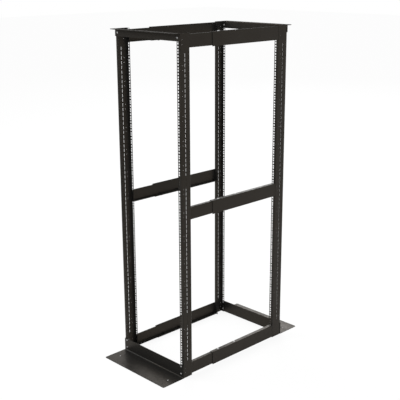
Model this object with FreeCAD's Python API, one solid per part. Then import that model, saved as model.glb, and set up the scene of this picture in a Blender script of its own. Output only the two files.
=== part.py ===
import FreeCAD, Part
import os

# Four-post open frame rack for 19 inch equipment, made of folded sheet steel.
# Millimetres, +Z up, front towards -Y, origin on the floor under the middle of the rack.

# Equipment grid: each unit has three square holes, one in its middle and one near each edge
unit_height = 44.45
unit_count = 42
unit_margin = 6.35
hole_side = 9.5
bay_width = 450.0
column_inset = 7.55

# Posts: channels with the web outwards and both flanges pointing into the bay.
# The front left and back right ones are deeper than the other two
post_flange = 26.5
post_depth = 63.5
deep_post_depth = 73.0
post_sheet = 2.5
frame_depth = 810.0

# Base and top angles, held to the front and the back pair of posts by bolts with square necks
angle_sheet = 3.0
base_leg_margin = 8.325
base_foot = 152.4
top_leg = 40.5
top_lip = 40.0
angle_overhang = 1.5
end_chamfer = 5.0
bolt_side = 7.0
base_bolt_units = (1, 2)
top_bolt_units = (unit_count,)

# Floor fixing: one round hole near each end of each foot
floor_hole_radius = 5.0
floor_hole_inset = 45.0

# Side rails: an inner angle on the front post slides in an outer angle on the back post
rail_sheet = 2.5
rail_flange = 22.5
rail_gap = 0.4
inner_web = 66.5
outer_skirt = 4.6
rail_relief = 4.0
inner_shown = 161.5
inner_overlap = 333.5

# Depth setting: clamp bolts with square necks in the outer rail, and a slot in the inner rail
depth_shorter = 150.0
depth_longer = 104.0
clamp_side = 8.0
clamp_inset = 14.0
clamp_setback = 56.0
clamp_spacing = 133.0
slot_end_room = 6.0

# The bottom and top rails sit this far from the ends of the posts, to their middles
rail_end_inset = 41.0

# Derived places
post_height = unit_height * unit_count
half_width = bay_width / 2 + post_flange
front_face = -frame_depth / 2
rail_seat = front_face + post_depth
rail_shift = deep_post_depth - post_depth
rail_joint = rail_seat + inner_shown
outer_web = rail_sheet + rail_gap + inner_web + outer_skirt
column = bay_width / 2 + column_inset
angle_end = half_width + angle_overhang
rail_middles = {
    "bottom": rail_end_inset,
    "middle": post_height / 2,
    "top": post_height - rail_end_inset,
}
unit_holes = (unit_margin, unit_height / 2, unit_height - unit_margin)

X_AXIS = FreeCAD.Vector(1, 0, 0)
Y_AXIS = FreeCAD.Vector(0, 1, 0)
Z_AXIS = FreeCAD.Vector(0, 0, 1)
ORIGIN = FreeCAD.Vector(0, 0, 0)


def hole_height(unit, row):
    """Height of one grid hole: units count from 1 at the floor, rows from 0."""
    return (unit - 1) * unit_height + unit_holes[row]


def prism(points, travel):
    """Solid made by pushing a closed outline along a vector."""
    return Part.Face(Part.makePolygon(points + points[:1])).extrude(travel)


def edge_on_line(shape, axis, spot):
    """The straight edge of a shape that runs along an axis through a spot."""
    for edge in shape.Edges:
        ends = [vertex.Point - spot for vertex in edge.Vertexes]
        if len(ends) == 2 and all(end.cross(axis).Length < 1e-6 for end in ends):
            return edge
    raise ValueError("no edge on the line through %s" % spot)


def fold(shape, axis, outside, sheet):
    """Round a tight fold: sharp inside, and one sheet's radius along its outside edge."""
    return shape.makeFillet(sheet, [edge_on_line(shape, axis, outside)])


def square_punch(centre, axis, side, sheet):
    """Cutter for a square hole through a sheet, from its middle in the middle of the sheet."""
    size = FreeCAD.Vector(side, side, side) + axis * (2 * sheet - side)
    return Part.makeBox(size.x, size.y, size.z, centre - size / 2)


def front_right_post(depth):
    """Channel with the equipment grid in its front flange."""
    back_face = front_face + depth
    free_edge = half_width - post_flange
    web_inside = half_width - post_sheet
    front_inside = front_face + post_sheet
    back_inside = back_face - post_sheet
    outline = [
        FreeCAD.Vector(free_edge, front_face),
        FreeCAD.Vector(half_width, front_face),
        FreeCAD.Vector(half_width, back_face),
        FreeCAD.Vector(free_edge, back_face),
        FreeCAD.Vector(free_edge, back_inside),
        FreeCAD.Vector(web_inside, back_inside),
        FreeCAD.Vector(web_inside, front_inside),
        FreeCAD.Vector(free_edge, front_inside),
    ]
    post = prism(outline, Z_AXIS * post_height)
    for corner in outline[1:3]:
        post = fold(post, Z_AXIS, corner, post_sheet)

    punches = []
    for unit in range(1, unit_count + 1):
        for row in range(len(unit_holes)):
            centre = FreeCAD.Vector(column, front_face + post_sheet / 2, hole_height(unit, row))
            punches.append(square_punch(centre, Y_AXIS, hole_side, post_sheet))
    return post.cut(Part.makeCompound(punches))


def front_angle(leg_end, fold_height, reach, bolt_units):
    """Angle across the two front posts: a leg on their faces and a plate that reaches forward.

    The plate's outer face is at fold_height, and the leg runs from there to leg_end.
    """
    inward = 1 if leg_end > fold_height else -1
    face = front_face - angle_sheet
    plate_inside = fold_height + inward * angle_sheet
    outline = [
        FreeCAD.Vector(-angle_end, front_face, fold_height),
        FreeCAD.Vector(-angle_end, front_face, leg_end),
        FreeCAD.Vector(-angle_end, face, leg_end),
        FreeCAD.Vector(-angle_end, face, plate_inside),
        FreeCAD.Vector(-angle_end, front_face - reach, plate_inside),
        FreeCAD.Vector(-angle_end, front_face - reach, fold_height),
    ]
    angle = prism(outline, X_AXIS * 2 * angle_end)
    angle = fold(angle, X_AXIS, outline[0], angle_sheet)
    tips = [outline[4] + X_AXIS * run for run in (0, 2 * angle_end)]
    angle = angle.makeChamfer(end_chamfer, [edge_on_line(angle, Z_AXIS, tip) for tip in tips])
    for side in (-1, 1):
        for unit in bolt_units:
            bolt = FreeCAD.Vector(side * column, face + angle_sheet / 2, hole_height(unit, 1))
            angle = angle.cut(square_punch(bolt, Y_AXIS, bolt_side, angle_sheet))
    return angle


def front_base_angle():
    """Base angle with a wide foot on the floor and a floor hole near each end."""
    base_leg = hole_height(base_bolt_units[-1], 1) + base_leg_margin
    angle = front_angle(base_leg, 0, base_foot, base_bolt_units)
    middle = front_face - (base_foot + angle_sheet) / 2
    for side in (-1, 1):
        hole = FreeCAD.Vector(side * (half_width - floor_hole_inset), middle, 0)
        angle = angle.cut(Part.makeCylinder(floor_hole_radius, angle_sheet, hole, Z_AXIS))
    return angle


def front_top_angle():
    """Top angle with a narrow lip, level with the ends of the posts."""
    return front_angle(post_height - top_leg, post_height, top_lip, top_bolt_units)


def right_rail(face, top, web, end, length):
    """Right-hand rail: a web, a flange along its top edge, and a tab folded in at its front end.

    face is the web's outer side, top the flange's upper side, and end where the tab seats.
    """
    free_edge = half_width - rail_flange
    web_inside = face - rail_sheet
    flange_under = top - rail_sheet
    foot = top - web
    outline = [
        FreeCAD.Vector(face, end, top),
        FreeCAD.Vector(face, end, foot),
        FreeCAD.Vector(web_inside, end, foot),
        FreeCAD.Vector(web_inside, end, flange_under),
        FreeCAD.Vector(free_edge, end, flange_under),
        FreeCAD.Vector(free_edge, end, top),
    ]
    rail = prism(outline, Y_AXIS * length)
    rail = fold(rail, Y_AXIS, outline[0], rail_sheet)

    # Corner relief, so that the flange and the tab fold apart from each other
    tab_top = flange_under - rail_relief
    notch_size = (face - free_edge, rail_sheet + rail_relief, top - tab_top)
    notch = Part.makeBox(*notch_size, FreeCAD.Vector(free_edge, end, tab_top))
    tab_size = (web_inside - free_edge, rail_sheet, tab_top - foot)
    tab = Part.makeBox(*tab_size, FreeCAD.Vector(free_edge, end, foot))
    rail = rail.cut(notch).fuse(tab).removeSplitter()
    return fold(rail, Z_AXIS, outline[1], rail_sheet)


def right_inner_rail(middle):
    """Inner rail: its flange has the slot that the clamp bolts run along."""
    top = middle + outer_web / 2 - rail_sheet - rail_gap
    face = half_width - rail_sheet - rail_gap
    rail = right_rail(face, top, inner_web, rail_seat, inner_shown + inner_overlap)
    first = rail_joint + clamp_setback - depth_shorter - slot_end_room
    last = rail_joint + clamp_setback + clamp_spacing + depth_longer + slot_end_room
    radius = clamp_side / 2
    start = FreeCAD.Vector(half_width - clamp_inset, first, top - rail_sheet)
    slot = Part.makeBox(clamp_side, last - first, rail_sheet, start - X_AXIS * radius)
    for run in (0, last - first):
        slot = slot.fuse(Part.makeCylinder(radius, rail_sheet, start + Y_AXIS * run, Z_AXIS))
    return rail.cut(slot)


def right_outer_rail(middle):
    """Outer rail: built as a front rail, punched for two clamp bolts, then mirrored to the back."""
    top = middle + outer_web / 2
    seat = rail_seat + rail_shift
    length = -rail_joint - seat
    rail = right_rail(half_width, top, outer_web, seat, length)
    for run in (0, clamp_spacing):
        back_along = -(rail_joint + clamp_setback + run)
        clamp = FreeCAD.Vector(half_width - clamp_inset, back_along, top - rail_sheet / 2)
        rail = rail.cut(square_punch(clamp, Z_AXIS, clamp_side, rail_sheet))
    return rail.mirror(ORIGIN, Y_AXIS)


def half_turn(shape, centre, axis):
    """The same piece turned half way round an axis."""
    turned = shape.copy()
    turned.rotate(centre, axis, 180)
    return turned


def build():
    """All pieces of the rack, by node name."""
    pieces = {}
    right_post = front_right_post(post_depth)
    left_post = front_right_post(deep_post_depth).mirror(ORIGIN, X_AXIS)
    pieces["front_right_post"] = right_post
    pieces["front_left_post"] = left_post
    pieces["back_left_post"] = half_turn(right_post, ORIGIN, Z_AXIS)
    pieces["back_right_post"] = half_turn(left_post, ORIGIN, Z_AXIS)

    for level, angle in (("base", front_base_angle()), ("top", front_top_angle())):
        pieces["front_%s_angle" % level] = angle
        pieces["back_%s_angle" % level] = half_turn(angle, ORIGIN, Z_AXIS)

    # The left rails are the right ones turned over, so their flanges run along the lower edge,
    # and set back by the front left post's greater depth
    for level, middle in rail_middles.items():
        centre = Z_AXIS * middle
        for kind, rail in (("inner", right_inner_rail(middle)), ("outer", right_outer_rail(middle))):
            pieces["right_%s_%s_rail" % (level, kind)] = rail
            turned = half_turn(rail, centre, Y_AXIS)
            turned.translate(Y_AXIS * rail_shift)
            pieces["left_%s_%s_rail" % (level, kind)] = turned
    return pieces


os.makedirs("parts", exist_ok=True)
for name, shape in build().items():
    shape.exportStep("parts/%s.step" % name)
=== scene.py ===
import math

import bmesh
import bpy
from bpy.props import FloatProperty, FloatVectorProperty, IntProperty, PointerProperty
from bpy.types import Operator, Panel, PropertyGroup
from mathutils import Matrix, Vector


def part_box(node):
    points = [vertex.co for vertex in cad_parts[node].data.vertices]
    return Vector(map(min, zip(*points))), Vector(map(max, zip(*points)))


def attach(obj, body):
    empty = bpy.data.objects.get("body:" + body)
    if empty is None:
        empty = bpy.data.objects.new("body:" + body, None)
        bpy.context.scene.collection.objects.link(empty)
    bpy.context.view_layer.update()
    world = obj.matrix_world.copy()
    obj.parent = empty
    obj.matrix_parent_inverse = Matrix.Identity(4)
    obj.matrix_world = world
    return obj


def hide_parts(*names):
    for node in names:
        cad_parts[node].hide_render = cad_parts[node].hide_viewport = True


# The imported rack, with its box before anything is added
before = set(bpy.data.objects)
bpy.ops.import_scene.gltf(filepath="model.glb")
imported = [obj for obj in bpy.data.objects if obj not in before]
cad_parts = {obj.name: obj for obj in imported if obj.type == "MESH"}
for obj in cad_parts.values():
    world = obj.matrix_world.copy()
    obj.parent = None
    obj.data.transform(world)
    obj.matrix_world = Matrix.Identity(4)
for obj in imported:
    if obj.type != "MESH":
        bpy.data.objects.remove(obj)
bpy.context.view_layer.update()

bl_info = {
    "name": "Four-post open frame rack",
    "version": (1, 0, 0),
    "blender": (4, 5, 0),
    "location": "View3D > Sidebar > Rack",
    "description": "Punched posts, bolts, black paint and a white stage for an open frame rack",
    "category": "Object",
}

# The ways that the rack's sides and ends look, and the levels of its rails
SIDES = {"left": -1, "right": 1}
ENDS = {"front": -1, "back": 1}
LEVELS = ("bottom", "middle", "top")

# The kind of rail that each end's posts carry, and the way that it runs from them
RAIL_ENDS = (("front", "inner", 1), ("back", "outer", -1))

# Grid holes that the rails' end bolts go through: the unit, counted from 1, and the row, from 0
RAIL_BOLTS = {
    "bottom": ((1, 1), (2, 0)),
    "middle": ((21, 1), (22, 1)),
    "top": ((41, 2), (42, 1)),
}

# Row of the holes in the middle of their units, where the angles' bolts go, and the base angles' units
MIDDLE_ROW = 1
BASE_UNITS = (1, 2)

# Points closer than this are merged, in metres
MERGE_DISTANCE = 1e-6

# Flats that make up the round shapes
SLOT_ROUND_STEPS = 4
PILOT_SIDES = 12
DOME_SEGMENTS = 16
DOME_RINGS = 8
SHANK_SIDES = 10
NUT_SIDES = 6
NUT_FLANGE_SIDES = 16

# Radius of a web slot's ends as a share of its width: just under half, so that each end keeps a short flat
SLOT_ROUND = 0.49

# Height of the flange under a nut as a share of the nut's height
NUT_FLANGE_SHARE = 0.25

# Sides of a weld as shares of its corner relief, across the rail and along it
WELD_ACROSS = 0.99
WELD_ALONG = 0.96

# Walls of a clamp slot: their reach from its middle as a share of its width, and how little they look up
SLOT_REACH = 0.51
SLOT_LEAN = 0.5

# A face with at least this much of its normal along one axis is flat, and with less it is part of a fold
FLAT_NORMAL = 0.9999

# Cloudy patterns of the finishes, each with its scale and detail, and the part of their range that is spread
BLOOM_PATTERN = (7.0, 3.0)
GLOSS_PATTERN = (23.0, 4.0)
PEEL_PATTERN = (420.0, 2.0)
MOTTLE_PATTERN = (900.0, 3.0)
PLATE_PATTERN = (500.0, 2.0)
PATTERN_LOW = 0.3
PATTERN_HIGH = 0.7

# Depth of the orange peel in metres
PEEL_DEPTH = 0.0004

# Plated metal: its mottle's shade, and how far its roughness wanders down and up
MOTTLE_SHADE = 0.8
PLATE_SMOOTHER = 0.06
PLATE_ROUGHER = 0.08

# Sockets of a Mix node's two colours and its result, which share their names with other sockets
MIX_FIRST = 6
MIX_SECOND = 7
MIX_RESULT = 2

# Stage in metres: the cards and lamps, each with its middle and its size across and up
# The cards glow with their grey and show only in reflections: painted reflections that darken the front
# faces and the high strips
CARDS = {
    "front_card": ((-1.3, -1.6, 1.1), (3.4, 2.2)),
    "back_card": ((-1.2, 1.35, 2.75), (3.4, 2.0)),
}
LAMPS = {
    "key": ((-3.0, -2.6, 3.6), (3.0, 3.0)),
    "window": ((-6.0, 8.0, 5.4), (4.0, 3.4)),
    "high": ((-3.6, 2.5, 5.2), (3.0, 3.0)),
}
LAMP_TARGET = Vector((0, 0, 0.9))
FLOOR_REACH = 30.0

# Roughness and reflection level of the floor
FLOOR_ROUGH = 0.9
FLOOR_SPECULAR = 0.1

# Width of the camera's sensor in millimetres
SENSOR_WIDTH = 36.0


def millimetres(name, description, value):
    """Length property given in millimetres and kept in metres."""
    return FloatProperty(
        name=name, description=description, default=value / 1000, unit="LENGTH", precision=5
    )


def colour(name, description, value):
    """Linear colour property."""
    return FloatVectorProperty(
        name=name, description=description, default=value, size=3, subtype="COLOR", min=0, max=1
    )


def watts(name, description, value):
    """Power property of a lamp."""
    return FloatProperty(name=name, description=description, default=value, min=0, unit="POWER")


def share(name, description, value):
    """Property from 0 to 1."""
    return FloatProperty(
        name=name, description=description, default=value, min=0, max=1, subtype="FACTOR"
    )


class RackPostSettings(PropertyGroup):
    """Sheet and punching of the posts."""

    sheet: millimetres("Sheet", "Thickness of the post's sheet", 2.5)
    bend: millimetres("Bend", "Outside radius of the post's folds", 3.0)
    bend_steps: IntProperty(
        name="Bend steps", description="Flats that make up one fold", default=6, min=2
    )
    unit: millimetres("Unit", "Height of one equipment unit", 44.45)
    unit_margin: millimetres("Unit margin", "First hole's height above its unit's lower edge", 6.35)
    units: IntProperty(name="Units", description="Equipment units in a post", default=42, min=1)
    hole: millimetres("Square hole", "Side of the square equipment holes", 9.5)
    hole_inset: millimetres("Hole inset", "Hole column's distance from the flange's free edge", 7.55)
    slot_pitch: millimetres("Slot pitch", "Step between the slots along the web", 25.4)
    slot_length: millimetres("Slot length", "Length of one web slot", 19.0)
    slot_width: millimetres("Slot width", "Width of one web slot", 3.8)
    slot_inset: millimetres("Slot inset", "Slot column's distance from the post's plain face", 32.7)
    slot_start: millimetres("Slot start", "Middle of the lowest slot above the floor", 108.0)
    slots: IntProperty(name="Slots", description="Slots in the web of a post", default=66, min=1)
    pilot: millimetres("Pilot hole", "Radius of the small round holes beside the slots", 1.9)
    pilot_inset: millimetres("Pilot inset", "Pilot holes' distance from the post's plain face", 50.3)
    pilot_start: millimetres("Pilot start", "Lowest pilot hole above the floor", 32.3)
    pilot_pitch: millimetres("Pilot pitch", "Step between the pairs of pilot holes", 127.0)
    pilots: IntProperty(name="Pilots", description="Pairs of pilot holes in a post", default=15, min=1)


class RackBoltSettings(PropertyGroup):
    """Bolts with domed heads and flange nuts."""

    shank: millimetres("Shank", "Radius of the bolts", 3.0)
    dome: millimetres("Dome", "Radius of the domed heads on the angles", 5.2)
    clamp_dome: millimetres("Clamp dome", "Radius of the clamp bolts' domed heads", 6.5)
    dome_height: millimetres("Dome height", "Height of the domed heads", 3.4)
    rail_dome: millimetres("Rail dome", "Radius of the domed heads at the rails' ends", 5.0)
    nut: millimetres("Nut", "Corner radius of the hexagon nuts", 5.77)
    nut_height: millimetres("Nut height", "Height of the nuts", 5.0)
    nut_flange: millimetres("Nut flange", "Radius of the flange under a nut", 6.6)
    thread_end: millimetres("Thread end", "Thread that shows past a nut", 3.0)
    angle_sheet: millimetres("Angle sheet", "Thickness of the base and top angles", 3.0)
    fold_radius: millimetres("Fold radius", "Radius inside the base angles' folds", 3.5)
    relief: millimetres("Relief", "Corner relief past the sheet at a rail's end", 4.0)
    rail_gap: millimetres("Rail gap", "Slack between an inner rail and its outer one", 0.4)
    clamp_inset: millimetres("Clamp inset", "Clamp bolts' distance from the rail's outer side", 14.0)
    clamp_slot: millimetres("Clamp slot", "Width of the inner rails' slots", 8.0)
    clamp_setback: millimetres(
        "Clamp setback", "First clamp bolt's distance from the outer rail's end", 56.0
    )
    clamp_spacing: millimetres("Clamp spacing", "Step between the two clamp bolts of a rail", 133.0)


class RackFinishSettings(PropertyGroup):
    """Paint, zinc and blackened steel, and a paler coat that paints the highlight along the base angles'
    folds.
    """

    paint: colour("Paint", "Colour of the powder coat", (0.0150, 0.0148, 0.0140))
    paint_light: colour("Paint, light", "Powder coat where it has a faint bloom", (0.0172, 0.0170, 0.0162))
    # Painted highlight: a paler coat on the base angles' fold strips stands in for the light line that the
    # inside of each fold catches
    fold_highlight: colour("Fold highlight paint", "Powder coat inside the folds", (0.040, 0.040, 0.039))
    fold_highlight_pale: colour(
        "Fold highlight paint, light", "Powder coat inside the folds at its palest", (0.062, 0.062, 0.060)
    )
    gloss_rough: share("Roughness", "Mean roughness of the powder coat", 0.34)
    gloss_spread: share("Roughness spread", "How far the roughness wanders", 0.06)
    paint_specular: share("Specular", "Reflection level of the powder coat", 0.155)
    # Painted warm light: the tint warms every reflection of the coat, standing in for warm light around the
    # rack rather than a colour of the coat
    warm_light_tint: colour("Tint", "Warmth of the powder coat's reflections", (1.0, 0.70, 0.40))
    peel: share("Peel", "Strength of the powder coat's fine orange peel", 0.06)
    zinc: colour("Zinc", "Colour of the zinc-plated bolts", (0.58, 0.58, 0.58))
    zinc_rough: share("Zinc roughness", "Mean roughness of the zinc plate", 0.34)
    steel: colour("Black steel", "Colour of the blackened bolts", (0.030, 0.029, 0.028))
    steel_rough: share("Black steel roughness", "Mean roughness of the blackened bolts", 0.42)


class RackStageSettings(PropertyGroup):
    """Camera, floor and light."""

    camera_place: FloatVectorProperty(
        name="Camera", description="Where the camera stands",
        default=(3.2313, -3.1718, 2.1812), size=3, subtype="TRANSLATION", unit="LENGTH",
    )
    camera_turn: FloatProperty(
        name="Turn", description="Camera's turn to the left of straight ahead",
        default=0.799544, subtype="ANGLE",
    )
    camera_pitch: FloatProperty(
        name="Pitch", description="Camera's tilt down", default=0.278084, subtype="ANGLE"
    )
    camera_roll: FloatProperty(
        name="Roll", description="Camera's roll", default=-0.004655, subtype="ANGLE"
    )
    lens: FloatProperty(name="Lens", description="Focal length", default=73.714, unit="CAMERA")
    floor: colour("Floor", "Colour of the floor", (0.92, 0.92, 0.92))
    shadow: share("Shadow", "How much of the floor's own shading shows", 0.11)
    sky: FloatProperty(name="Sky", description="Light from the surroundings", default=0.85, min=0)
    key_power: watts("Key", "Power of the lamp at the front left", 115)
    window_power: watts("Window", "Power of the large lamp far behind on the left", 165)
    high_power: watts("High", "Power of the high lamp nearer behind on the left", 110)
    front_card: share("Front card", "Grey of the card that the front faces reflect", 0.30)
    back_card: share("Back card", "Grey of the high card behind on the left", 0.05)


class Wiring:
    """Adds nodes to a tree and joins them."""

    def __init__(self, tree):
        self.tree = tree

    def add(self, kind, inputs=None, **settings):
        """New node with its settings, and each named input set or joined."""
        node = self.tree.nodes.new(kind)
        for name, value in settings.items():
            setattr(node, name, value)
        for name, value in (inputs or {}).items():
            self.feed(node.inputs[name], value)
        return node

    def feed(self, socket, value):
        """Join a socket to another, or give it a value."""
        if isinstance(value, bpy.types.NodeSocket):
            self.tree.links.new(value, socket)
        else:
            socket.default_value = value

    def sum(self, operation, first, second):
        """Result of one operation on two numbers."""
        node = self.tree.nodes.new("ShaderNodeMath")
        node.operation = operation
        self.feed(node.inputs[0], first)
        self.feed(node.inputs[1], second)
        return node.outputs[0]

    def vector(self, x, y, z):
        """Vector from three numbers."""
        return self.add("ShaderNodeCombineXYZ", {"X": x, "Y": y, "Z": z}).outputs[0]

    def join(self, *geometries):
        """All the geometries as one."""
        node = self.tree.nodes.new("GeometryNodeJoinGeometry")
        for geometry in geometries:
            self.tree.links.new(geometry, node.inputs[0])
        return node.outputs[0]


def geometry_tree(name, inputs):
    """New tree with inputs named by kind. Returns its wiring, its input sockets and its output node."""
    tree = bpy.data.node_groups.new(name, "GeometryNodeTree")
    for kind, labels in inputs.items():
        for label in labels:
            tree.interface.new_socket(label, in_out="INPUT", socket_type=kind)
    tree.interface.new_socket("Geometry", in_out="OUTPUT", socket_type="NodeSocketGeometry")
    wiring = Wiring(tree)
    source = wiring.add("NodeGroupInput")
    target = wiring.add("NodeGroupOutput")
    return wiring, source.outputs, target


def finish_tree(wiring, target, geometry, material):
    """End a tree in realized instances and a material."""
    real = wiring.add("GeometryNodeRealizeInstances", {"Geometry": geometry})
    painted = wiring.add(
        "GeometryNodeSetMaterial", {"Geometry": real.outputs[0], "Material": material}
    )
    wiring.feed(target.inputs[0], painted.outputs[0])


def run_tree(name, mesh, tree, values):
    """Plain mesh that a tree makes from a mesh, with the tree's inputs given by name."""
    carrier = bpy.data.objects.new(name, mesh)
    bpy.context.scene.collection.objects.link(carrier)
    modifier = carrier.modifiers.new(tree.name, "NODES")
    modifier.node_group = tree
    for socket in tree.interface.items_tree:
        if socket.in_out == "INPUT" and socket.name in values:
            modifier[socket.identifier] = values[socket.name]
    bpy.context.view_layer.update()
    graph = bpy.context.evaluated_depsgraph_get()
    made = bpy.data.meshes.new_from_object(carrier.evaluated_get(graph), depsgraph=graph)
    bpy.data.objects.remove(carrier)
    made.name = name
    return made


def point_mesh(name, label, places):
    """Mesh of loose points. Each place is a point and its value of a named vector attribute."""
    points = bpy.data.meshes.new(name)
    points.from_pydata([place for place, _ in places], [], [])
    attribute = points.attributes.new(label, "FLOAT_VECTOR", "POINT")
    for number, (_, value) in enumerate(places):
        attribute.data[number].vector = value
    return points


def hole_height(post, unit, row):
    """Height of one grid hole: units count from 1 at the floor, rows from 0."""
    rows = (post.unit_margin, post.unit / 2, post.unit - post.unit_margin)
    return (unit - 1) * post.unit + rows[row]


def hole_column(post):
    """Distance of the posts' hole columns from the rack's middle."""
    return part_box("front_right_post")[0].x + post.hole_inset


def clamp_line(bolts, side, level):
    """Where a rail's clamp bolts sit across the rack."""
    low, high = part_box("%s_%s_outer_rail" % (side, level))
    return SIDES[side] * (max(high.x, -low.x) - bolts.clamp_inset)


def add_piece(name, mesh, body):
    """Object at the origin with its place in its mesh, riding on a body."""
    piece = bpy.data.objects.new(name, mesh)
    bpy.context.scene.collection.objects.link(piece)
    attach(piece, body)
    return piece


def close_shell(mesh):
    """Merge a made shell's doubles and turn its faces outwards."""
    shell = bmesh.new()
    shell.from_mesh(mesh)
    bmesh.ops.remove_doubles(shell, verts=shell.verts, dist=MERGE_DISTANCE)
    bmesh.ops.recalc_face_normals(shell, faces=shell.faces)
    shell.to_mesh(mesh)
    shell.free()


def smooth_folds(mesh):
    """Shade only the faces of the folds smooth: those that look along no axis."""
    for face in mesh.polygons:
        face.use_smooth = max(abs(part) for part in face.normal) < FLAT_NORMAL


def post_tree():
    """Tree of one punched post: the web's outer face at x 0, the front face at y 0, the floor at z 0."""
    wiring, size, target = geometry_tree("Punched post", {
        "NodeSocketFloat": (
            "Height", "Flange", "Depth", "Sheet", "Bend",
            "Unit", "First Hole", "Second Hole", "Third Hole", "Hole", "Hole Inset",
            "Slot Pitch", "Slot Start", "Slot Length", "Slot Width", "Slot Inset",
            "Pilot Pitch", "Pilot Start", "Pilot", "Pilot Inset",
        ),
        "NodeSocketInt": ("Bend Steps", "Units", "Slots", "Pilots"),
        "NodeSocketMaterial": ("Paint",),
    })

    def column(curve, across, start, step, count):
        """Copies of a hole's outline in a column up a flat."""
        line = wiring.add("GeometryNodeMeshLine", {
            "Count": count,
            "Start Location": wiring.vector(across, start, 0.0),
            "Offset": wiring.vector(0.0, step, 0.0),
        })
        copies = wiring.add("GeometryNodeInstanceOnPoints", {"Points": line.outputs[0], "Instance": curve})
        return wiring.add("GeometryNodeRealizeInstances", {"Geometry": copies.outputs[0]}).outputs[0]

    def rectangle(width, height):
        """Outline of a rectangle round the origin."""
        sides = {"Width": width, "Height": height}
        return wiring.add("GeometryNodeCurvePrimitiveQuadrilateral", sides).outputs[0]

    def flat(width, columns, turn, place):
        """Flat strip as high as the post, without its holes, turned and moved to its place."""
        half_up = wiring.sum("MULTIPLY", size["Height"], 0.5)
        half_across = wiring.sum("MULTIPLY", width, 0.5)
        edge = wiring.add("GeometryNodeTransform", {
            "Geometry": rectangle(width, size["Height"]),
            "Translation": wiring.vector(half_across, half_up, 0.0),
        })
        outlines = wiring.join(edge.outputs[0], *columns)
        filled = wiring.add("GeometryNodeFillCurve", {"Curve": outlines})
        placed = wiring.add("GeometryNodeTransform", {
            "Geometry": filled.outputs[0], "Translation": place,
            "Rotation": (math.pi / 2, 0.0, turn),
        })
        return placed.outputs[0]

    def fold(start_angle, place):
        """Quarter round strip as high as the post."""
        arc = wiring.add("GeometryNodeCurveArc", {
            "Resolution": wiring.sum("ADD", size["Bend Steps"], 1.0),
            "Radius": size["Bend"], "Start Angle": start_angle, "Sweep Angle": math.pi / 2,
        })
        edge = wiring.add("GeometryNodeCurveToMesh", {"Curve": arc.outputs[0]})
        strip = wiring.add("GeometryNodeExtrudeMesh", {
            "Mesh": edge.outputs[0], "Offset": wiring.vector(0.0, 0.0, 1.0), "Offset Scale": size["Height"],
        }, mode="EDGES")
        placed = wiring.add("GeometryNodeTransform", {"Geometry": strip.outputs[0], "Translation": place})
        return placed.outputs[0]

    flange_flat = wiring.sum("SUBTRACT", size["Flange"], size["Bend"])
    web_flat = wiring.sum("SUBTRACT", size["Depth"], wiring.sum("MULTIPLY", size["Bend"], 2.0))
    bend_back = wiring.sum("MULTIPLY", size["Bend"], -1.0)
    edge_back = wiring.sum("MULTIPLY", size["Flange"], -1.0)
    web_end = wiring.sum("SUBTRACT", size["Depth"], size["Bend"])

    # Front flange, measured from its fold, and back flange, measured from its free edge
    square = rectangle(size["Hole"], size["Hole"])
    rows = [size[name] for name in ("First Hole", "Second Hole", "Third Hole")]
    from_fold = wiring.sum("SUBTRACT", flange_flat, size["Hole Inset"])
    front_holes = [column(square, from_fold, row, size["Unit"], size["Units"]) for row in rows]
    back_holes = [column(square, size["Hole Inset"], row, size["Unit"], size["Units"]) for row in rows]
    front = flat(flange_flat, front_holes, math.pi, wiring.vector(bend_back, 0.0, 0.0))
    back = flat(flange_flat, back_holes, 0.0, wiring.vector(edge_back, size["Depth"], 0.0))

    # Web, measured from the back fold, with its slots and pilot holes
    slot_round = wiring.sum("MULTIPLY", size["Slot Width"], SLOT_ROUND)
    slot = wiring.add("GeometryNodeFilletCurve", {
        "Curve": rectangle(size["Slot Width"], size["Slot Length"]), "Radius": slot_round,
        "Count": SLOT_ROUND_STEPS, "Limit Radius": True,
    }, mode="POLY")
    pilot = wiring.add("GeometryNodeCurvePrimitiveCircle", {
        "Resolution": PILOT_SIDES, "Radius": size["Pilot"],
    })
    slot_across = wiring.sum("SUBTRACT", size["Slot Inset"], size["Bend"])
    pilot_across = wiring.sum("SUBTRACT", size["Pilot Inset"], size["Bend"])
    upper_pilot = wiring.sum("ADD", size["Pilot Start"], size["Slot Pitch"])
    web_holes = [
        column(slot.outputs[0], slot_across, size["Slot Start"], size["Slot Pitch"], size["Slots"])
    ]
    for start in (size["Pilot Start"], upper_pilot):
        web_holes.append(
            column(pilot.outputs[0], pilot_across, start, size["Pilot Pitch"], size["Pilots"])
        )
    web = flat(web_flat, web_holes, -math.pi / 2, wiring.vector(0.0, web_end, 0.0))

    folds = [
        fold(-math.pi / 2, wiring.vector(bend_back, size["Bend"], 0.0)),
        fold(0.0, wiring.vector(bend_back, web_end, 0.0)),
    ]
    skin = wiring.add("GeometryNodeMergeByDistance", {
        "Geometry": wiring.join(front, back, web, *folds), "Distance": MERGE_DISTANCE,
    })
    inside = wiring.add("GeometryNodeExtrudeMesh", {
        "Mesh": skin.outputs[0], "Offset Scale": size["Sheet"], "Individual": False,
    }, mode="FACES")
    outside = wiring.add("GeometryNodeFlipFaces", {"Mesh": skin.outputs[0]})
    shell = wiring.add("GeometryNodeMergeByDistance", {
        "Geometry": wiring.join(inside.outputs[0], outside.outputs[0]), "Distance": MERGE_DISTANCE,
    })
    finish_tree(wiring, target, shell.outputs[0], size["Paint"])
    return wiring.tree


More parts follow.
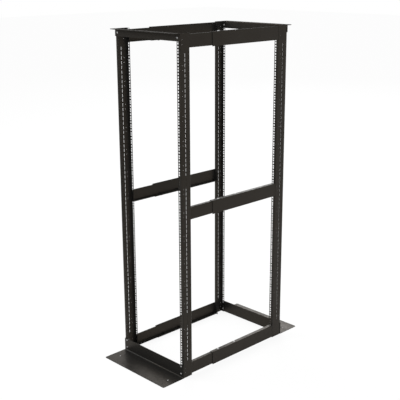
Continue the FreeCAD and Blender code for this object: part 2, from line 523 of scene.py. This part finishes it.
def bolt_tree():
    """Tree of bolts at the points of a mesh. Each point's axis attribute gives the way its head looks."""
    wiring, size, target = geometry_tree("Domed bolts", {
        "NodeSocketGeometry": ("Points",),
        "NodeSocketFloat": (
            "Shank", "Grip", "Dome", "Dome Height", "Nut", "Nut Height", "Nut Flange", "Thread End",
        ),
        "NodeSocketMaterial": ("Metal",),
    })

    def disc(sides, radius, height, top):
        """Upright cylinder with its upper end at a height."""
        made = wiring.add("GeometryNodeMeshCylinder", {
            "Vertices": sides, "Radius": radius, "Depth": height,
        })
        middle = wiring.sum("SUBTRACT", top, wiring.sum("MULTIPLY", height, 0.5))
        moved = wiring.add("GeometryNodeTransform", {
            "Geometry": made.outputs[0], "Translation": wiring.vector(0.0, 0.0, middle),
        })
        return moved.outputs[0]

    # Head: the upper half of a flattened ball, with its lower half pressed flat on the seat
    ball = wiring.add("GeometryNodeMeshUVSphere", {
        "Segments": DOME_SEGMENTS, "Rings": DOME_RINGS, "Radius": 1.0,
    })
    scaled = wiring.add("GeometryNodeTransform", {
        "Geometry": ball.outputs[0],
        "Scale": wiring.vector(size["Dome"], size["Dome"], size["Dome Height"]),
    })
    position = wiring.add("GeometryNodeInputPosition")
    place = wiring.add("ShaderNodeSeparateXYZ", {"Vector": position.outputs[0]})
    seated = wiring.sum("MAXIMUM", place.outputs["Z"], 0.0)
    head = wiring.add("GeometryNodeSetPosition", {
        "Geometry": scaled.outputs[0],
        "Position": wiring.vector(place.outputs["X"], place.outputs["Y"], seated),
    })

    # Shank through the sheets, and a hexagon nut with a thin flange
    nut_top = wiring.sum("MULTIPLY", size["Grip"], -1.0)
    nut_all = wiring.sum("ADD", size["Nut Height"], size["Thread End"])
    flange_height = wiring.sum("MULTIPLY", size["Nut Height"], NUT_FLANGE_SHARE)
    whole = wiring.join(
        head.outputs[0],
        disc(SHANK_SIDES, size["Shank"], wiring.sum("ADD", size["Grip"], nut_all), 0.0),
        disc(NUT_SIDES, size["Nut"], size["Nut Height"], nut_top),
        disc(NUT_FLANGE_SIDES, size["Nut Flange"], flange_height, nut_top),
    )
    axis = wiring.add("GeometryNodeInputNamedAttribute", {"Name": "axis"}, data_type="FLOAT_VECTOR")
    turn = wiring.add("FunctionNodeAlignRotationToVector", {"Vector": axis.outputs[0]}, axis="Z")
    copies = wiring.add("GeometryNodeInstanceOnPoints", {
        "Points": size["Points"], "Instance": whole, "Rotation": turn.outputs[0],
    })
    finish_tree(wiring, target, copies.outputs[0], size["Metal"])
    return wiring.tree


def bolt_piece(name, body, material, dome, grip, places):
    """Bolts of one body as one piece. Each place is the head's seat and the way the head looks."""
    bolts = bpy.context.scene.rack_bolts
    points = point_mesh(name, "axis", places)
    tree = bpy.data.node_groups.get("Domed bolts") or bolt_tree()
    mesh = run_tree(name, points, tree, {
        "Shank": bolts.shank, "Grip": grip, "Dome": dome, "Dome Height": bolts.dome_height,
        "Nut": bolts.nut, "Nut Height": bolts.nut_height, "Nut Flange": bolts.nut_flange,
        "Thread End": bolts.thread_end, "Metal": material,
    })
    return add_piece(name, mesh, body)


def weld_tree():
    """Tree of blocks at the points of a mesh. Each point's size attribute gives its block's sides."""
    wiring, size, target = geometry_tree("Corner welds", {
        "NodeSocketGeometry": ("Points",),
        "NodeSocketMaterial": ("Paint",),
    })
    block = wiring.add("GeometryNodeMeshCube", {"Size": (1.0, 1.0, 1.0)})
    sides = wiring.add("GeometryNodeInputNamedAttribute", {"Name": "size"}, data_type="FLOAT_VECTOR")
    copies = wiring.add("GeometryNodeInstanceOnPoints", {
        "Points": size["Points"], "Instance": block.outputs[0], "Scale": sides.outputs[0],
    })
    finish_tree(wiring, target, copies.outputs[0], size["Paint"])
    return wiring.tree


def new_material(name):
    """Material with an empty tree but for its output and one shader."""
    material = bpy.data.materials.new(name)
    material.use_nodes = True
    material.node_tree.nodes.clear()
    wiring = Wiring(material.node_tree)
    shader = wiring.add("ShaderNodeBsdfPrincipled")
    output = wiring.add("ShaderNodeOutputMaterial")
    wiring.feed(output.inputs["Surface"], shader.outputs[0])
    return material, wiring, shader


def noise(wiring, scale, detail):
    """Cloudy pattern on the object's own coordinates, from 0 to 1."""
    place = wiring.add("ShaderNodeTexCoord").outputs["Object"]
    made = wiring.add("ShaderNodeTexNoise", {"Vector": place, "Scale": scale, "Detail": detail})
    return made.outputs[0]


def between(wiring, pattern, low, high):
    """A pattern spread from low to high."""
    made = wiring.add("ShaderNodeMapRange", {
        "Value": pattern, "From Min": PATTERN_LOW, "From Max": PATTERN_HIGH, "To Min": low, "To Max": high,
    })
    return made.outputs[0]


def blend(wiring, pattern, first, second):
    """Colour that wanders between two with a pattern."""
    mix = wiring.add("ShaderNodeMix", {"Factor": between(wiring, pattern, 0.0, 1.0)}, data_type="RGBA")
    wiring.feed(mix.inputs[MIX_FIRST], (*first, 1))
    wiring.feed(mix.inputs[MIX_SECOND], (*second, 1))
    return mix.outputs[MIX_RESULT]


def powder_coat(name, dark, light):
    """Semi-gloss powder coat with a fine orange peel, which wanders between two colours."""
    found = bpy.data.materials.get(name)
    if found:
        return found
    finish = bpy.context.scene.rack_finish
    material, wiring, shader = new_material(name)
    bloom = blend(wiring, noise(wiring, *BLOOM_PATTERN), dark, light)
    wiring.feed(shader.inputs["Base Color"], bloom)
    low = finish.gloss_rough - finish.gloss_spread
    high = finish.gloss_rough + finish.gloss_spread
    wiring.feed(shader.inputs["Roughness"], between(wiring, noise(wiring, *GLOSS_PATTERN), low, high))
    wiring.feed(shader.inputs["Specular IOR Level"], finish.paint_specular)
    # Reflections tinted warm: painted warm light from the surroundings
    wiring.feed(shader.inputs["Specular Tint"], (*finish.warm_light_tint, 1))
    peel = wiring.add("ShaderNodeBump", {
        "Height": noise(wiring, *PEEL_PATTERN), "Strength": finish.peel, "Distance": PEEL_DEPTH,
    })
    wiring.feed(shader.inputs["Normal"], peel.outputs[0])
    return material


def black_paint():
    """Black powder coat of the posts, angles and rails."""
    finish = bpy.context.scene.rack_finish
    return powder_coat("black_powder_coat", finish.paint, finish.paint_light)


def fold_highlight_paint():
    """Powder coat painted paler along the inside of a fold: a painted highlight for the light line that the
    fold catches.
    """
    finish = bpy.context.scene.rack_finish
    return powder_coat("rubbed_powder_coat", finish.fold_highlight, finish.fold_highlight_pale)


def plated(name, base, rough):
    """Plated metal with a slight mottle in its colour and gloss."""
    found = bpy.data.materials.get(name)
    if found:
        return found
    material, wiring, shader = new_material(name)
    shade = [part * MOTTLE_SHADE for part in base]
    mottle = blend(wiring, noise(wiring, *MOTTLE_PATTERN), base, shade)
    wiring.feed(shader.inputs["Base Color"], mottle)
    low = rough - PLATE_SMOOTHER
    high = rough + PLATE_ROUGHER
    wiring.feed(shader.inputs["Roughness"], between(wiring, noise(wiring, *PLATE_PATTERN), low, high))
    wiring.feed(shader.inputs["Metallic"], 1.0)
    return material


def zinc():
    """Bright zinc plate of the angles' bolts and the right clamp bolts."""
    finish = bpy.context.scene.rack_finish
    return plated("zinc_plate", finish.zinc, finish.zinc_rough)


def black_steel():
    """Blackened steel of the bolts at the rails' ends and the left clamp bolts."""
    finish = bpy.context.scene.rack_finish
    return plated("blackened_steel", finish.steel, finish.steel_rough)


class RACK_OT_paint_frame(Operator):
    """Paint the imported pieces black"""

    bl_idname = "rack.paint_frame"
    bl_label = "Paint frame"

    def execute(self, context):
        paint = black_paint()
        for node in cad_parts.values():
            node.data.materials.clear()
            node.data.materials.append(paint)
        return {"FINISHED"}


class RACK_OT_punch_posts(Operator):
    """Make the four posts with all their square holes, web slots and pilot holes"""

    bl_idname = "rack.punch_posts"
    bl_label = "Punch posts"

    def execute(self, context):
        tree = post_tree()
        for side, turn in (("right", 0.0), ("left", math.pi)):
            for end in ENDS:
                self.punch(context.scene.rack_post, tree, end, side, turn)
        return {"FINISHED"}

    def punch(self, post, tree, end, side, turn):
        """One post in place of the plain one, with its web to the right before it is turned."""
        node = "%s_%s_post" % (end, side)
        low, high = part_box(node)
        size = high - low
        mesh = run_tree("punched_%s" % node, bpy.data.meshes.new("post_start"), tree, {
            "Height": size.z, "Flange": size.x, "Depth": size.y,
            "Sheet": post.sheet, "Bend": post.bend, "Bend Steps": post.bend_steps,
            "Units": post.units, "Unit": post.unit, "First Hole": post.unit_margin,
            "Second Hole": post.unit / 2, "Third Hole": post.unit - post.unit_margin,
            "Hole": post.hole, "Hole Inset": post.hole_inset,
            "Slots": post.slots, "Slot Pitch": post.slot_pitch, "Slot Start": post.slot_start,
            "Slot Length": post.slot_length, "Slot Width": post.slot_width, "Slot Inset": post.slot_inset,
            "Pilots": post.pilots, "Pilot Pitch": post.pilot_pitch, "Pilot Start": post.pilot_start,
            "Pilot": post.pilot, "Pilot Inset": post.pilot_inset,
            "Paint": black_paint(),
        })

        # The web's front corner goes to the right front of the post, or turned half round to its left back
        corner = (low.x, high.y, low.z) if turn else (high.x, low.y, low.z)
        mesh.transform(Matrix.Translation(corner) @ Matrix.Rotation(turn, 4, "Z"))
        close_shell(mesh)
        smooth_folds(mesh)
        piece = add_piece("punched_%s" % node, mesh, "%s_frame" % end)
        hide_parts(node)


class RACK_OT_round_folds(Operator):
    """Round the inside of the base angles' folds, in a paler coat that paints their highlight"""

    bl_idname = "rack.round_folds"
    bl_label = "Round folds"

    def execute(self, context):
        post = context.scene.rack_post
        bolts = context.scene.rack_bolts
        for end, way in ENDS.items():
            low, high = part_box("%s_base_angle" % end)
            post_low, post_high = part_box("%s_right_post" % end)
            seat = post_low.y if way < 0 else post_high.y
            face = seat + way * bolts.angle_sheet
            outline = [(face, bolts.angle_sheet)]
            for step in range(post.bend_steps + 1):
                angle = step / post.bend_steps * math.pi / 2
                out = bolts.fold_radius * (1 - math.sin(angle))
                up = bolts.fold_radius * (1 - math.cos(angle))
                outline.append((face + way * out, bolts.angle_sheet + up))
            count = len(outline)
            corners = [(x, y, z) for x in (low.x, high.x) for y, z in outline]
            sides = [(k, (k + 1) % count, count + (k + 1) % count, count + k) for k in range(count)]
            ends = [tuple(range(count)), tuple(range(2 * count - 1, count - 1, -1))]
            mesh = bpy.data.meshes.new("%s_base_fold" % end)
            mesh.from_pydata(corners, [], sides + ends)
            # The paler coat on this strip is a painted highlight along the fold
            mesh.materials.append(fold_highlight_paint())
            close_shell(mesh)
            smooth_folds(mesh)
            piece = add_piece("%s_base_fold" % end, mesh, "%s_frame" % end)
        return {"FINISHED"}


class RACK_OT_bolt_angles(Operator):
    """Bolt the base and top angles to the posts with zinc-plated domed bolts"""

    bl_idname = "rack.bolt_angles"
    bl_label = "Bolt angles"

    def execute(self, context):
        post = context.scene.rack_post
        bolts = context.scene.rack_bolts
        heights = [hole_height(post, unit, MIDDLE_ROW) for unit in (*BASE_UNITS, post.units)]
        column = hole_column(post)
        front_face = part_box("front_right_post")[0].y
        for end, way in ENDS.items():
            seat = way * (bolts.angle_sheet - front_face)
            places = [
                ((side * column, seat, height), (0, way, 0))
                for side in SIDES.values() for height in heights
            ]
            bolt_piece("%s_angle_bolts" % end, "%s_frame" % end, zinc(), bolts.dome,
                       bolts.angle_sheet + post.sheet, places)
        return {"FINISHED"}


class RACK_OT_bolt_rails(Operator):
    """Bolt the rails' end tabs to the posts with blackened bolts"""

    bl_idname = "rack.bolt_rails"
    bl_label = "Bolt rail ends"

    def execute(self, context):
        post = context.scene.rack_post
        bolts = context.scene.rack_bolts
        column = hole_column(post)
        for end, kind, way in RAIL_ENDS:
            places = []
            for side, sign in SIDES.items():
                for level in LEVELS:
                    low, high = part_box("%s_%s_%s_rail" % (side, level, kind))
                    tab = low.y if way > 0 else high.y
                    for unit, row in RAIL_BOLTS[level]:
                        seat = (sign * column, tab + way * post.sheet, hole_height(post, unit, row))
                        places.append((seat, (0, way, 0)))
            bolt_piece("%s_rail_bolts" % end, "%s_frame" % end, black_steel(), bolts.rail_dome,
                       2 * post.sheet, places)
        return {"FINISHED"}


class RACK_OT_weld_corners(Operator):
    """Fill the reliefs between the rails' flanges and end tabs with painted welds"""

    bl_idname = "rack.weld_corners"
    bl_label = "Weld corners"

    def execute(self, context):
        run = context.scene.rack_post.sheet + context.scene.rack_bolts.relief
        tree = weld_tree()
        for end, kind, way in RAIL_ENDS:
            places = []
            for side, sign in SIDES.items():
                for level in LEVELS:
                    low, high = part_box("%s_%s_%s_rail" % (side, level, kind))
                    along = (low.y if way > 0 else high.y) + way * run / 2
                    up = (high.z if sign > 0 else low.z) - sign * run / 2
                    sides = (WELD_ACROSS * (high.x - low.x), WELD_ALONG * run, WELD_ALONG * run)
                    places.append((((low.x + high.x) / 2, along, up), sides))
            points = point_mesh("%s_corner_welds" % end, "size", places)
            mesh = run_tree("%s_corner_welds" % end, points, tree, {"Paint": black_paint()})
            piece = add_piece("%s_corner_welds" % end, mesh, "%s_frame" % end)
        return {"FINISHED"}


class RACK_OT_close_slots(Operator):
    """Show the inner rails plain, with the slots that their clamp bolts run along closed"""

    bl_idname = "rack.close_slots"
    bl_label = "Close slots"

    def execute(self, context):
        for side in SIDES:
            for level in LEVELS:
                self.close(context.scene.rack_bolts, side, level)
        return {"FINISHED"}

    def close(self, bolts, side, level):
        """One inner rail in place of the slotted one."""
        node = "%s_%s_inner_rail" % (side, level)
        across = clamp_line(bolts, side, level)
        reach = SLOT_REACH * bolts.clamp_slot
        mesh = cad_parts[node].data.copy()
        rail = bmesh.new()
        rail.from_mesh(mesh)
        bmesh.ops.remove_doubles(rail, verts=rail.verts, dist=MERGE_DISTANCE)
        walls = [
            face for face in rail.faces
            if abs(face.normal.z) < SLOT_LEAN
            and all(abs(corner.co.x - across) < reach for corner in face.verts)
        ]
        bmesh.ops.delete(rail, geom=walls, context="FACES")
        rims = [edge for edge in rail.edges if edge.is_boundary]
        bmesh.ops.holes_fill(rail, edges=rims, sides=0)
        bmesh.ops.recalc_face_normals(rail, faces=rail.faces)
        rail.to_mesh(mesh)
        rail.free()
        smooth_folds(mesh)
        piece = add_piece("plain_%s" % node, mesh, "front_frame")
        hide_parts(node)


class RACK_OT_clamp_rails(Operator):
    """Clamp the telescoping rails with bolts through their flanges"""

    bl_idname = "rack.clamp_rails"
    bl_label = "Clamp rails"

    def execute(self, context):
        bolts = context.scene.rack_bolts
        grip = 2 * context.scene.rack_post.sheet + bolts.rail_gap
        metals = {"left": black_steel(), "right": zinc()}
        for side, sign in SIDES.items():
            places = []
            for level in LEVELS:
                low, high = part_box("%s_%s_outer_rail" % (side, level))
                across = clamp_line(bolts, side, level)
                seat = high.z if sign > 0 else low.z
                for step in (0, 1):
                    along = low.y + bolts.clamp_setback + step * bolts.clamp_spacing
                    places.append(((across, along, seat), (0, 0, sign)))
            bolt_piece("%s_clamp_bolts" % side, "back_frame", metals[side], bolts.clamp_dome, grip, places)
        return {"FINISHED"}


class RACK_OT_set_stage(Operator):
    """Set the camera, the white floor and the soft light"""

    bl_idname = "rack.set_stage"
    bl_label = "Set stage"

    def execute(self, context):
        scene = context.scene
        stage = scene.rack_stage
        scene.view_settings.view_transform = "Standard"
        self.add_camera(scene, stage)
        self.add_world(scene, stage)
        self.add_floor(scene, stage)
        self.add_cards(scene, stage)
        self.add_lamps(scene, stage)
        return {"FINISHED"}

    def add_camera(self, scene, stage):
        """Camera at the photograph's place, turned by its yaw, pitch and roll."""
        data = bpy.data.cameras.new("rack_camera")
        data.lens = stage.lens
        data.sensor_width = SENSOR_WIDTH
        camera = bpy.data.objects.new("rack_camera", data)
        scene.collection.objects.link(camera)
        turn = Matrix.Rotation(stage.camera_turn, 4, "Z")
        tilt = Matrix.Rotation(math.pi / 2 - stage.camera_pitch, 4, "X")
        roll = Matrix.Rotation(stage.camera_roll, 4, "Z")
        camera.matrix_world = Matrix.Translation(stage.camera_place) @ turn @ tilt @ roll
        scene.camera = camera

    def add_world(self, scene, stage):
        """White surroundings, full for what the camera and reflections see."""
        world = bpy.data.worlds.new("white_studio")
        world.use_nodes = True
        world.node_tree.nodes.clear()
        wiring = Wiring(world.node_tree)
        seen = self.seen(wiring)
        strength = wiring.add("ShaderNodeMapRange", {"Value": seen, "To Min": stage.sky, "To Max": 1.0})
        sky = wiring.add("ShaderNodeBackground", {"Color": (1, 1, 1, 1), "Strength": strength.outputs[0]})
        output = wiring.add("ShaderNodeOutputWorld")
        wiring.feed(output.inputs["Surface"], sky.outputs[0])
        scene.world = world

    def seen(self, wiring):
        """1 for rays from the camera, from reflections and through glass, and 0 for the rest."""
        path = wiring.add("ShaderNodeLightPath")
        direct = wiring.sum("MAXIMUM", path.outputs["Is Camera Ray"], path.outputs["Is Glossy Ray"])
        return wiring.sum("MAXIMUM", direct, path.outputs["Is Transmission Ray"])

    def add_floor(self, scene, stage):
        """Pale floor that reads as white and keeps part of the rack's shadow."""
        mesh = bpy.data.meshes.new("floor")
        reach = FLOOR_REACH
        mesh.from_pydata(
            [(-reach, -reach, 0), (reach, -reach, 0), (reach, reach, 0), (-reach, reach, 0)],
            [], [(0, 1, 2, 3)],
        )
        floor = bpy.data.objects.new("floor", mesh)
        scene.collection.objects.link(floor)
        material, wiring, shader = new_material("pale_floor")
        wiring.feed(shader.inputs["Base Color"], (*stage.floor, 1))
        wiring.feed(shader.inputs["Roughness"], FLOOR_ROUGH)
        wiring.feed(shader.inputs["Specular IOR Level"], FLOOR_SPECULAR)
        glow = wiring.add("ShaderNodeEmission", {"Color": (1, 1, 1, 1), "Strength": 1.0})
        share_seen = wiring.sum("MULTIPLY", self.seen(wiring), 1.0 - stage.shadow)
        mixed = wiring.add("ShaderNodeMixShader", {0: share_seen})
        wiring.feed(mixed.inputs[1], shader.outputs[0])
        wiring.feed(mixed.inputs[2], glow.outputs[0])
        output = next(node for node in wiring.tree.nodes if node.type == "OUTPUT_MATERIAL")
        wiring.feed(output.inputs["Surface"], mixed.outputs[0])
        mesh.materials.append(material)

    def add_cards(self, scene, stage):
        """Grey cards that only show in reflections: one at the front left, one high at the back left."""
        for name, (middle, size) in CARDS.items():
            self.add_card(scene, name, getattr(stage, name), middle, size)

    def add_card(self, scene, name, grey, middle, size):
        """Upright card that faces the rack and glows its grey for reflections only: a painted reflection."""
        mesh = bpy.data.meshes.new(name)
        across = size[0] / 2
        up = size[1] / 2
        mesh.from_pydata(
            [(-across, 0, -up), (across, 0, -up), (across, 0, up), (-across, 0, up)], [], [(0, 1, 2, 3)]
        )
        turn = math.atan2(middle[0], -middle[1])
        mesh.transform(Matrix.Translation(middle) @ Matrix.Rotation(turn, 4, "Z"))
        card = bpy.data.objects.new(name, mesh)
        scene.collection.objects.link(card)
        card.visible_camera = False
        card.visible_diffuse = False
        card.visible_shadow = False
        card.visible_transmission = False
        material = bpy.data.materials.new(name)
        material.use_nodes = True
        material.node_tree.nodes.clear()
        wiring = Wiring(material.node_tree)
        # The grey glow is a painted reflection, darker than the white surroundings
        glow = wiring.add("ShaderNodeEmission", {"Color": (grey, grey, grey, 1), "Strength": 1.0})
        output = wiring.add("ShaderNodeOutputMaterial")
        wiring.feed(output.inputs["Surface"], glow.outputs[0])
        mesh.materials.append(material)

    def add_lamps(self, scene, stage):
        """Large soft lamps: one high at the front left, one far behind on the left and one nearer there."""
        for name, (place, size) in LAMPS.items():
            self.add_lamp(scene, name, getattr(stage, "%s_power" % name), place, size)

    def add_lamp(self, scene, name, power, place, size):
        """Soft lamp that looks at the middle of the rack."""
        data = bpy.data.lights.new(name, "AREA")
        data.shape = "RECTANGLE"
        data.size, data.size_y = size
        data.energy = power
        lamp = bpy.data.objects.new(name, data)
        scene.collection.objects.link(lamp)
        lamp.location = place
        lamp.rotation_euler = (LAMP_TARGET - lamp.location).to_track_quat("-Z", "Y").to_euler()
        lamp.visible_camera = False


OPERATORS = (
    RACK_OT_paint_frame,
    RACK_OT_punch_posts,
    RACK_OT_round_folds,
    RACK_OT_bolt_angles,
    RACK_OT_bolt_rails,
    RACK_OT_weld_corners,
    RACK_OT_close_slots,
    RACK_OT_clamp_rails,
    RACK_OT_set_stage,
)


class RACK_PT_build(Panel):
    """Lists the steps that build the rack"""

    bl_idname = "RACK_PT_build"
    bl_label = "Open frame rack"
    bl_space_type = "VIEW_3D"
    bl_region_type = "UI"
    bl_category = "Rack"

    def draw(self, context):
        for operator in OPERATORS:
            self.layout.operator(operator.bl_idname)


SETTINGS = {
    "rack_post": RackPostSettings,
    "rack_bolts": RackBoltSettings,
    "rack_finish": RackFinishSettings,
    "rack_stage": RackStageSettings,
}
CLASSES = (*SETTINGS.values(), *OPERATORS, RACK_PT_build)


def register():
    """Register the classes and hang the settings on the scene."""
    for each in CLASSES:
        bpy.utils.register_class(each)
    for name, settings in SETTINGS.items():
        setattr(bpy.types.Scene, name, PointerProperty(type=settings))


def unregister():
    """Take the settings and the classes away again."""
    for name in SETTINGS:
        delattr(bpy.types.Scene, name)
    for each in reversed(CLASSES):
        bpy.utils.unregister_class(each)


def main():
    """Build the rack step by step."""
    register()
    bpy.ops.rack.paint_frame()
    bpy.ops.rack.punch_posts()
    bpy.ops.rack.round_folds()
    bpy.ops.rack.bolt_angles()
    bpy.ops.rack.bolt_rails()
    bpy.ops.rack.weld_corners()
    bpy.ops.rack.close_slots()
    bpy.ops.rack.clamp_rails()
    bpy.ops.rack.set_stage()


if __name__ == "__main__":
    main()
